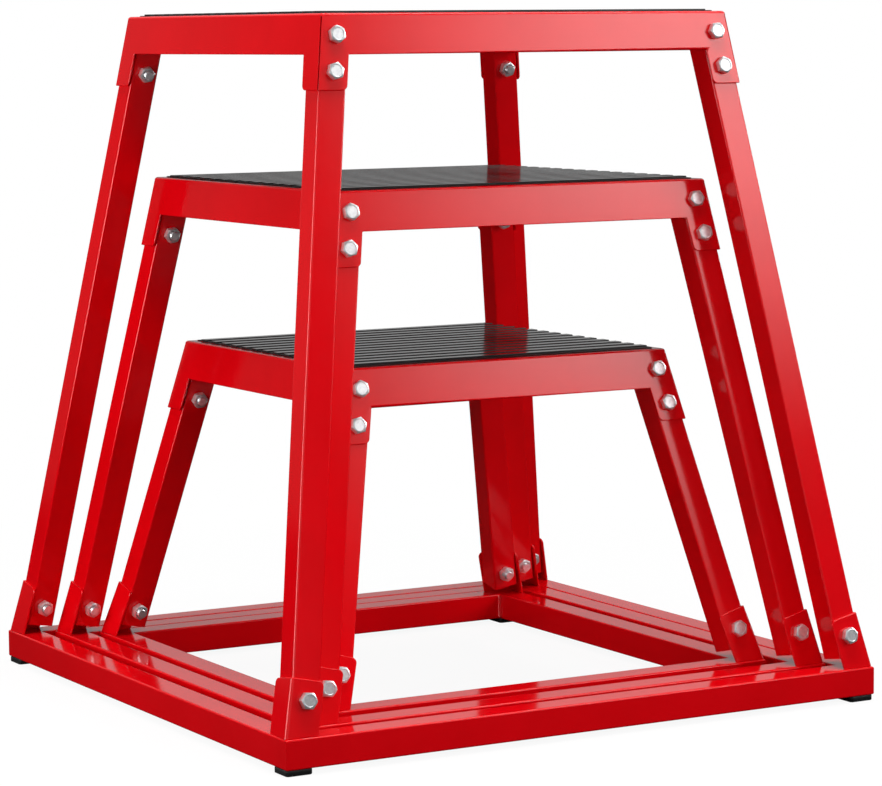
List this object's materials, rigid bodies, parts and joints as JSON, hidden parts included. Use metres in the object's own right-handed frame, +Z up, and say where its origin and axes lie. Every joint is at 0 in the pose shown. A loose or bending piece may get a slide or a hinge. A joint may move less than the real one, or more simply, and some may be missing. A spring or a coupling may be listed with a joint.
{
  "type": "plyo box",
  "caption": "Nesting set of steel plyo boxes: splayed square-tube legs bolted to corner brackets on tube rings, each under a folded top pan with a ribbed rubber mat.",
  "frame": {"origin": "on the floor under the middle of the nested set", "axes": "+X along the bolted faces, +Y from the front bolted face to the back one, +Z up"},
  "size_m": [0.582, 0.582, 0.609],
  "materials": {
    "powder_coat": "glossy red powder coat over folded sheet and drawn tube",
    "tread_rubber": "semi-gloss black rubber with broad ribs",
    "foot_rubber": "matt black rubber",
    "zinc_plate": "bright zinc plate"
  },
  "bodies": {
    "small_box": {"small_base_rail_back": "powder_coat", "small_base_rail_front": "powder_coat", "small_base_rail_left": "powder_coat", "small_base_rail_right": "powder_coat", "small_bolts": "zinc_plate", "small_corner_bracket_back_left": "powder_coat", "small_corner_bracket_back_right": "powder_coat", "small_corner_bracket_front_left": "powder_coat", "small_corner_bracket_front_right": "powder_coat", "small_feet": "foot_rubber", "small_leg_back_left": "powder_coat", "small_leg_back_right": "powder_coat", "small_leg_front_left": "powder_coat", "small_leg_front_right": "powder_coat", "small_nuts": "zinc_plate", "small_top_pan": "powder_coat", "small_tread_mat": "tread_rubber"},
    "medium_box": {"medium_base_rail_back": "powder_coat", "medium_base_rail_front": "powder_coat", "medium_base_rail_left": "powder_coat", "medium_base_rail_right": "powder_coat", "medium_bolts": "zinc_plate", "medium_corner_bracket_back_left": "powder_coat", "medium_corner_bracket_back_right": "powder_coat", "medium_corner_bracket_front_left": "powder_coat", "medium_corner_bracket_front_right": "powder_coat", "medium_feet": "foot_rubber", "medium_leg_back_left": "powder_coat", "medium_leg_back_right": "powder_coat", "medium_leg_front_left": "powder_coat", "medium_leg_front_right": "powder_coat", "medium_nuts": "zinc_plate", "medium_top_pan": "powder_coat", "medium_tread_mat": "tread_rubber"},
    "large_box": {"large_base_rail_back": "powder_coat", "large_base_rail_front": "powder_coat", "large_base_rail_left": "powder_coat", "large_base_rail_right": "powder_coat", "large_bolts": "zinc_plate", "large_corner_bracket_back_left": "powder_coat", "large_corner_bracket_back_right": "powder_coat", "large_corner_bracket_front_left": "powder_coat", "large_corner_bracket_front_right": "powder_coat", "large_feet": "foot_rubber", "large_leg_back_left": "powder_coat", "large_leg_back_right": "powder_coat", "large_leg_front_left": "powder_coat", "large_leg_front_right": "powder_coat", "large_nuts": "zinc_plate", "large_top_pan": "powder_coat", "large_tread_mat": "tread_rubber"}
  },
  "joints": [
    {"name": "medium_lift", "type": "slide", "parent": "small_box", "child": "medium_box", "axis": [0, 0, 1], "range_m": [0, 0.33]},
    {"name": "large_lift", "type": "slide", "parent": "medium_box", "child": "large_box", "axis": [0, 0, 1], "range_m": [0, 0.48]}
  ]
}
